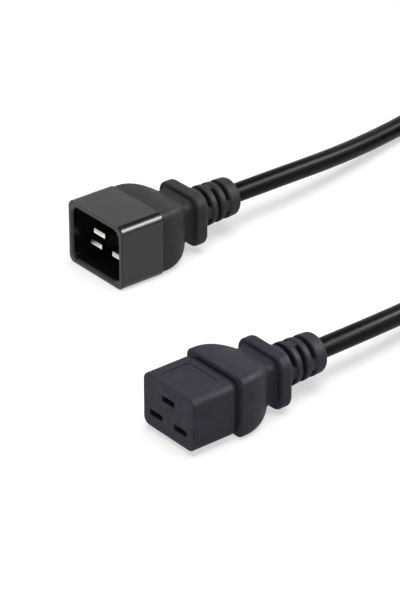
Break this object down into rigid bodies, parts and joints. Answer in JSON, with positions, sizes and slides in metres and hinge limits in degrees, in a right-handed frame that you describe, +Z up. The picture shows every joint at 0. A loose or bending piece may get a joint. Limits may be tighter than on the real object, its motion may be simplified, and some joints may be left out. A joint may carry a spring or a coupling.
{
  "type": "power cord",
  "caption": "Power cord with a shrouded three-pin appliance plug and a three-slot appliance connector, both with slotted strain reliefs, the spare length coiled.",
  "frame": {"origin": "on the floor, under the middle of the box round the plug and the connector", "axes": "+Z up, -X the way both mating faces look, +Y from the connector to the plug"},
  "size_m": [0.3258, 0.1552, 0.026],
  "materials": {
    "shroud": "smooth black moulding with a soft gloss",
    "plug_overmould": "fine matte dark grey PVC",
    "connector_overmould": "fine matte dark blue-grey PVC",
    "insert": "hard black moulding",
    "nickel_plate": "bright nickel plate on brass",
    "core_line": "brown PVC insulation",
    "core_neutral": "blue PVC insulation",
    "core_earth": "green and yellow PVC insulation",
    "copper": "bare copper strands",
    "jacket": "black PVC jacket with a soft sheen"
  },
  "bodies": {
    "root": {"connector_body": "connector_overmould", "connector_contact_earth": "nickel_plate", "connector_contact_line": "nickel_plate", "connector_contact_neutral": "nickel_plate", "connector_core_earth": "core_earth", "connector_core_line": "core_line", "connector_core_neutral": "core_neutral", "connector_insert": "insert", "connector_strands_earth": "copper", "connector_strands_line": "copper", "connector_strands_neutral": "copper", "cord_coil": "jacket", "cord_from_connector": "jacket", "cord_from_plug": "jacket", "plug_body": "plug_overmould", "plug_core_earth": "core_earth", "plug_core_line": "core_line", "plug_core_neutral": "core_neutral", "plug_pin_earth": "nickel_plate", "plug_pin_line": "nickel_plate", "plug_pin_neutral": "nickel_plate", "plug_shroud": "shroud", "plug_strands_earth": "copper", "plug_strands_line": "copper", "plug_strands_neutral": "copper"}
  },
  "joints": []
}
